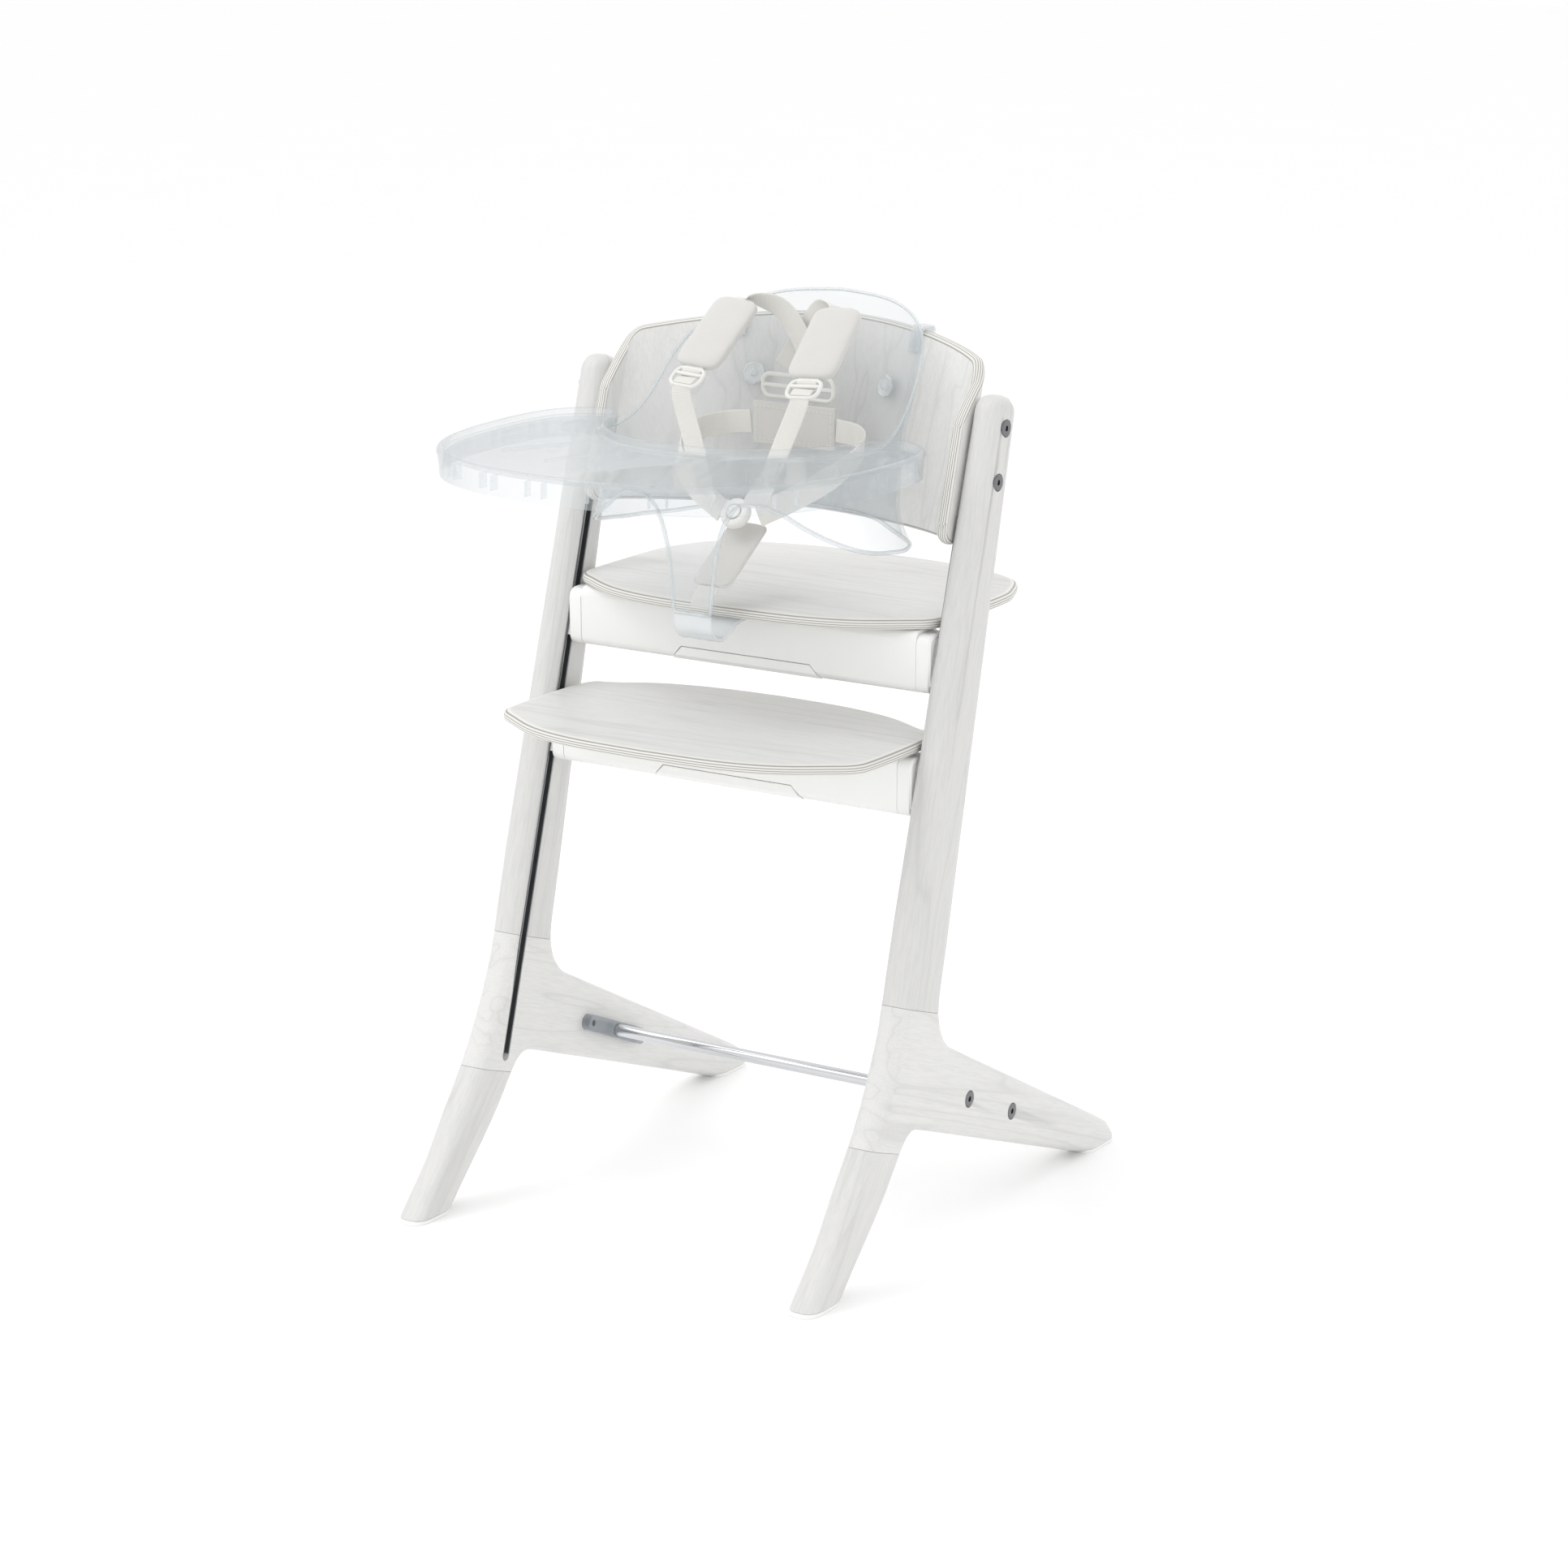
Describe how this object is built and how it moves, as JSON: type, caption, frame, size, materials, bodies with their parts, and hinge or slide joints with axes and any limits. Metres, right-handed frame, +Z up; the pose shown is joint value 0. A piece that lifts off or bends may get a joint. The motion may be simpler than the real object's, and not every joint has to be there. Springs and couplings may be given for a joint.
{
  "type": "baby high chair",
  "caption": "Child high chair with glued wooden side frames, sliding seat and footrest boards, bent plywood backrest, clear plastic baby shell, harness and tray",
  "frame": {"origin": "on the floor, at the middle of the overall width and depth", "axes": "+Z up, -Y towards the tray, +X towards the sitting child's left"},
  "size_m": [0.4808, 0.6386, 0.883],
  "materials": {
    "birch": "white-stained matt lacquer",
    "plywood": "white-stained matt lacquer, plain layered edges",
    "white_plastic": "satin",
    "track_metal": "dark grey satin",
    "chrome": "polished",
    "smoke_plastic": "smoky translucent gloss",
    "clear_plastic": "clear gloss with a faint blue tint",
    "webbing": "ribbed cream webbing",
    "padding": "soft cream padding",
    "cream_plastic": "satin"
  },
  "bodies": {
    "frame": {"left_post": "birch", "left_rear_leg": "birch", "left_front_leg": "birch", "left_track": "track_metal", "left_front_glide": "white_plastic", "left_rear_glide": "white_plastic", "left_backrest_bolt_1": "chrome", "left_backrest_bolt_2": "chrome", "left_stretcher_bolt_1": "chrome", "left_stretcher_bolt_2": "chrome", "left_stretcher_flange": "smoke_plastic", "left_hook": "clear_plastic", "left_shoulder_pad": "padding", "left_ladder_lock": "cream_plastic", "left_back_strap": "webbing", "left_front_strap": "webbing", "left_waist_belt": "webbing", "right_post": "birch", "right_rear_leg": "birch", "right_front_leg": "birch", "right_track": "track_metal", "right_front_glide": "white_plastic", "right_rear_glide": "white_plastic", "right_backrest_bolt_1": "chrome", "right_backrest_bolt_2": "chrome", "right_stretcher_bolt_1": "chrome", "right_stretcher_bolt_2": "chrome", "right_stretcher_flange": "smoke_plastic", "right_hook": "clear_plastic", "right_shoulder_pad": "padding", "right_ladder_lock": "cream_plastic", "right_back_strap": "webbing", "right_front_strap": "webbing", "right_waist_belt": "webbing", "stretcher_bar": "chrome", "backrest": "plywood", "baby_shell": "clear_plastic", "back_adjuster": "cream_plastic", "buckle": "cream_plastic", "back_block": "webbing", "crotch_strap": "webbing", "crotch_pad": "padding"},
    "seat": {"seat_board": "plywood", "seat_crossbar": "white_plastic", "seat_left_cap": "white_plastic", "seat_right_cap": "white_plastic", "crotch_clip": "clear_plastic"},
    "footrest": {"footrest_board": "plywood", "footrest_crossbar": "white_plastic", "footrest_left_cap": "white_plastic", "footrest_right_cap": "white_plastic"},
    "seat_lever": {"seat_lever": "white_plastic"},
    "footrest_lever": {"footrest_lever": "white_plastic"},
    "tray": {"tray": "clear_plastic"},
    "left_tray_release": {"left_tray_release": "clear_plastic"},
    "right_tray_release": {"right_tray_release": "clear_plastic"},
    "buckle_button": {"buckle_button": "cream_plastic"},
    "left_knob": {"left_knob": "clear_plastic"},
    "right_knob": {"right_knob": "clear_plastic"}
  },
  "joints": [
    {"name": "seat_slide", "type": "slide", "parent": "frame", "child": "seat", "axis": [0, 0.2829, 0.9591], "range_m": [-0.035, 0]},
    {"name": "footrest_slide", "type": "slide", "parent": "frame", "child": "footrest", "axis": [0, 0.2829, 0.9591], "range_m": [-0.2, 0]},
    {"name": "seat_lever_press", "type": "slide", "parent": "seat", "child": "seat_lever", "axis": [0, 1, 0], "range_m": [0, 0.003], "stiffness_N_per_m": 1000},
    {"name": "footrest_lever_press", "type": "slide", "parent": "footrest", "child": "footrest_lever", "axis": [0, 1, 0], "range_m": [0, 0.003], "stiffness_N_per_m": 1000},
    {"name": "tray_slide", "type": "slide", "parent": "frame", "child": "tray", "axis": [0, -1, 0], "range_m": [0, 0.1]},
    {"name": "left_release_press", "type": "slide", "parent": "tray", "child": "left_tray_release", "axis": [1, 0, 0], "range_m": [0, 0.004], "stiffness_N_per_m": 600},
    {"name": "right_release_press", "type": "slide", "parent": "tray", "child": "right_tray_release", "axis": [-1, 0, 0], "range_m": [0, 0.004], "stiffness_N_per_m": 600},
    {"name": "buckle_button_press", "type": "slide", "parent": "frame", "child": "buckle_button", "axis": [0, 0.8, -0.6], "range_m": [0, 0.0017], "stiffness_N_per_m": 600},
    {"name": "left_knob_turn", "type": "hinge", "parent": "frame", "child": "left_knob", "pos_m": [-0.0769, 0.12957, 0.789], "axis": [0.3974, -0.874, 0.2796], "range_deg": [0, 90]},
    {"name": "right_knob_turn", "type": "hinge", "parent": "frame", "child": "right_knob", "pos_m": [0.0769, 0.12957, 0.789], "axis": [-0.3974, -0.874, 0.2796], "range_deg": [0, 90]}
  ]
}
